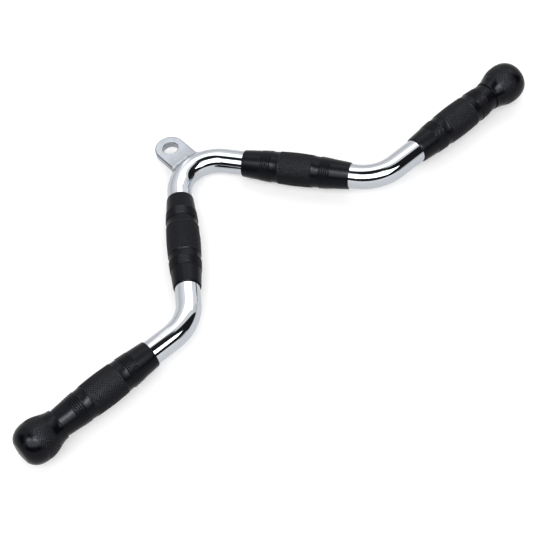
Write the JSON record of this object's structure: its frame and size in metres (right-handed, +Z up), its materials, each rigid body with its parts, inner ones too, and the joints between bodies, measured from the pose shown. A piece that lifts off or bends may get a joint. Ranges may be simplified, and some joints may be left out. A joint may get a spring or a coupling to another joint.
{
  "type": "multi-exercise cable bar",
  "caption": "Bent chrome cable bar with a welded eye plate at its middle bend, ribbed and knurled rubber grips on its slanted and outer arms, and a rubber ball end on each tip.",
  "frame": {"origin": "on the floor, under the middle of the bar's bounding box, as the bar lies at rest on a flat floor", "axes": "+X along the outer arms from the left ball end to the right one, +Y from the arms towards the eye plate, +Z up"},
  "size_m": [0.6604, 0.2278, 0.043],
  "materials": {
    "bar_chrome": "polished chrome plate",
    "eye_chrome": "chrome plate over a ground plate and its weld, a little duller than the bar",
    "grip_rubber": "satin moulded rubber",
    "ball_rubber": "satin moulded rubber"
  },
  "bodies": {
    "root": {"bar": "bar_chrome", "eye_plate": "eye_chrome", "eye_weld": "eye_chrome", "inner_grip_left": "grip_rubber", "inner_grip_right": "grip_rubber", "outer_grip_left": "grip_rubber", "outer_grip_right": "grip_rubber", "ball_end_left": "ball_rubber", "ball_end_right": "ball_rubber"}
  },
  "joints": []
}
